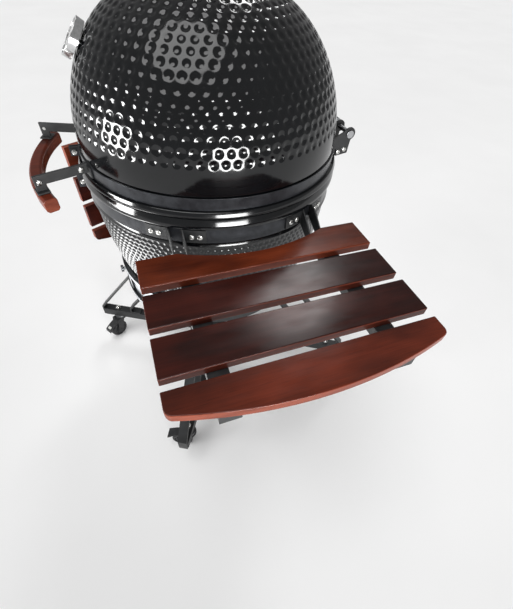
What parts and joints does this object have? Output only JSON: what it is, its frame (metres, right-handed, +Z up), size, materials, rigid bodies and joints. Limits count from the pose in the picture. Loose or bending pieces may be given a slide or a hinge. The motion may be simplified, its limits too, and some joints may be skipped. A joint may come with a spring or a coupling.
{
  "type": "kamado grill",
  "caption": "Kamado ceramic grill: dimpled glazed bowl and hinged dome with steel bands, folding slatted wood side shelves and a wheeled steel cart.",
  "frame": {"origin": "the body's upright axis where it meets the floor, under the middle of the bowl", "axes": "+Z up, -Y towards the lid handle, +X along the raised right shelf"},
  "size_m": [0.97, 0.7678, 1.0799],
  "materials": {
    "black_glaze": "glossy, dimpled",
    "firebrick": "matt",
    "satin_black_steel": "satin",
    "black_powder_coat": "satin",
    "zinc_screws": "bright",
    "steel_parts": "satin",
    "stainless_grate": "brushed",
    "cast_iron": "matt",
    "felt": "felt",
    "red_mahogany": "stained, satin coat",
    "dark_mahogany": "stained, satin coat",
    "wheel_plastic": "matt",
    "brake_plastic": "matt",
    "dial_steel": "polished",
    "dial_glass": "clear",
    "needle_red": "satin",
    "door_steel": "brushed",
    "screen_steel": "brushed",
    "spring_steel": "satin"
  },
  "bodies": {
    "base": {"cart_crossbars": "black_powder_coat", "cart_outer_straps": "black_powder_coat", "cart_inner_straps": "black_powder_coat", "bowl_rings": "black_powder_coat", "caster_stems": "steel_parts", "caster_nuts": "zinc_screws", "bowl": "black_glaze", "firebox": "firebrick", "fire_ring": "firebrick", "charcoal_grate": "cast_iron", "lower_gasket": "felt", "lower_band": "satin_black_steel", "base_band_screws": "zinc_screws", "draft_frame": "door_steel", "draft_screen": "screen_steel", "shelf_brackets": "black_powder_coat", "shelf_pivot_pins": "zinc_screws", "lower_hinge_bracket": "black_powder_coat", "hinge_springs": "spring_steel"},
    "lid": {"dome": "black_glaze", "upper_gasket": "felt", "upper_band": "satin_black_steel", "lid_band_screws": "zinc_screws", "handle_arms": "black_powder_coat", "handle_grip": "red_mahogany", "thermometer_case": "dial_steel", "thermometer_glass": "dial_glass", "vent_base": "cast_iron", "vent_pivot_screw": "steel_parts", "upper_hinge_bracket": "black_powder_coat", "hinge_pin": "steel_parts"},
    "needle": {"thermometer_needle": "needle_red"},
    "vent_cover": {"vent_lid": "cast_iron", "daisy_screw": "zinc_screws"},
    "vent_wheel": {"daisy_wheel": "cast_iron"},
    "draft_door": {"draft_door": "door_steel"},
    "grate": {"cooking_grate": "stainless_grate"},
    "right_shelf": {"right_shelf_arms": "black_powder_coat", "right_slat_1": "red_mahogany", "right_slat_2": "dark_mahogany", "right_slat_3": "dark_mahogany", "right_slat_4": "red_mahogany", "right_slat_screws": "zinc_screws"},
    "left_shelf": {"left_shelf_arms": "black_powder_coat", "left_slat_1": "red_mahogany", "left_slat_2": "dark_mahogany", "left_slat_3": "dark_mahogany", "left_slat_4": "red_mahogany", "left_slat_screws": "zinc_screws"},
    "front_left_caster": {"front_left_fork": "black_powder_coat"},
    "front_left_roller": {"front_left_wheel": "wheel_plastic"},
    "front_left_brake": {"front_left_brake": "brake_plastic"},
    "front_right_caster": {"front_right_fork": "black_powder_coat"},
    "front_right_roller": {"front_right_wheel": "wheel_plastic"},
    "front_right_brake": {"front_right_brake": "brake_plastic"},
    "rear_left_caster": {"rear_left_fork": "black_powder_coat"},
    "rear_left_roller": {"rear_left_wheel": "wheel_plastic"},
    "rear_right_caster": {"rear_right_fork": "black_powder_coat"},
    "rear_right_roller": {"rear_right_wheel": "wheel_plastic"}
  },
  "joints": [
    {"name": "lid_hinge", "type": "hinge", "parent": "base", "child": "lid", "pos_m": [0, 0.281, 0.784], "axis": [-1, 0, 0], "range_deg": [0, 70]},
    {"name": "needle_turn", "type": "hinge", "parent": "lid", "child": "needle", "pos_m": [0, -0.21737, 0.93905], "axis": [0, 0.7931, -0.6091], "range_deg": [0, 270]},
    {"name": "vent_cover_swing", "type": "hinge", "parent": "lid", "child": "vent_cover", "pos_m": [0, 0.071, 1.062], "axis": [0, 0, 1], "range_deg": [0, 100]},
    {"name": "daisy_wheel_turn", "type": "hinge", "parent": "vent_cover", "child": "vent_wheel", "pos_m": [0, 0, 1.068], "axis": [0, 0, 1], "range_deg": [0, 36]},
    {"name": "draft_door_slide", "type": "hinge", "parent": "base", "child": "draft_door", "pos_m": [0, 0, 0.45], "axis": [0, 0, 1], "range_deg": [0, 27]},
    {"name": "cooking_grate_lift", "type": "slide", "parent": "base", "child": "grate", "axis": [0, 0, 1], "range_m": [0, 0.02]},
    {"name": "right_shelf_fold", "type": "hinge", "parent": "base", "child": "right_shelf", "pos_m": [0.297, 0, 0.678], "axis": [0, 1, 0], "range_deg": [0, 90]},
    {"name": "left_shelf_fold", "type": "hinge", "parent": "base", "child": "left_shelf", "pos_m": [-0.26694, -0.1302, 0.678], "axis": [0.4384, -0.8988, 0], "range_deg": [-90, 0]},
    {"name": "front_left_swivel", "type": "hinge", "parent": "base", "child": "front_left_caster", "pos_m": [-0.18035, -0.32536, 0.08], "axis": [0, 0, 1], "continuous": true},
    {"name": "front_left_roll", "type": "hinge", "parent": "front_left_caster", "child": "front_left_roller", "pos_m": [-0.16601, -0.34584, 0.03], "axis": [0.8192, 0.5736, 0], "continuous": true},
    {"name": "front_left_brake_press", "type": "hinge", "parent": "front_left_caster", "child": "front_left_brake", "pos_m": [-0.16888, -0.34174, 0.069], "axis": [0.8192, 0.5736, 0], "range_deg": [0, 12]},
    {"name": "front_right_swivel", "type": "hinge", "parent": "base", "child": "front_right_caster", "pos_m": [0.32536, -0.18035, 0.08], "axis": [0, 0, 1], "continuous": true},
    {"name": "front_right_roll", "type": "hinge", "parent": "front_right_caster", "child": "front_right_roller", "pos_m": [0.31479, -0.20301, 0.03], "axis": [0.9063, -0.4226, 0], "continuous": true},
    {"name": "front_right_brake_press", "type": "hinge", "parent": "front_right_caster", "child": "front_right_brake", "pos_m": [0.31691, -0.19848, 0.069], "axis": [0.9063, -0.4226, 0], "range_deg": [0, 12]},
    {"name": "rear_left_swivel", "type": "hinge", "parent": "base", "child": "rear_left_caster", "pos_m": [-0.32536, 0.18035, 0.08], "axis": [0, 0, 1], "continuous": true},
    {"name": "rear_left_roll", "type": "hinge", "parent": "rear_left_caster", "child": "rear_left_roller", "pos_m": [-0.33391, 0.20384, 0.03], "axis": [-0.9397, -0.342, 0], "continuous": true},
    {"name": "rear_right_swivel", "type": "hinge", "parent": "base", "child": "rear_right_caster", "pos_m": [0.18035, 0.32536, 0.08], "axis": [0, 0, 1], "continuous": true},
    {"name": "rear_right_roll", "type": "hinge", "parent": "rear_right_caster", "child": "rear_right_roller", "pos_m": [0.18682, 0.34951, 0.03], "axis": [-0.9659, 0.2588, 0], "continuous": true}
  ]
}
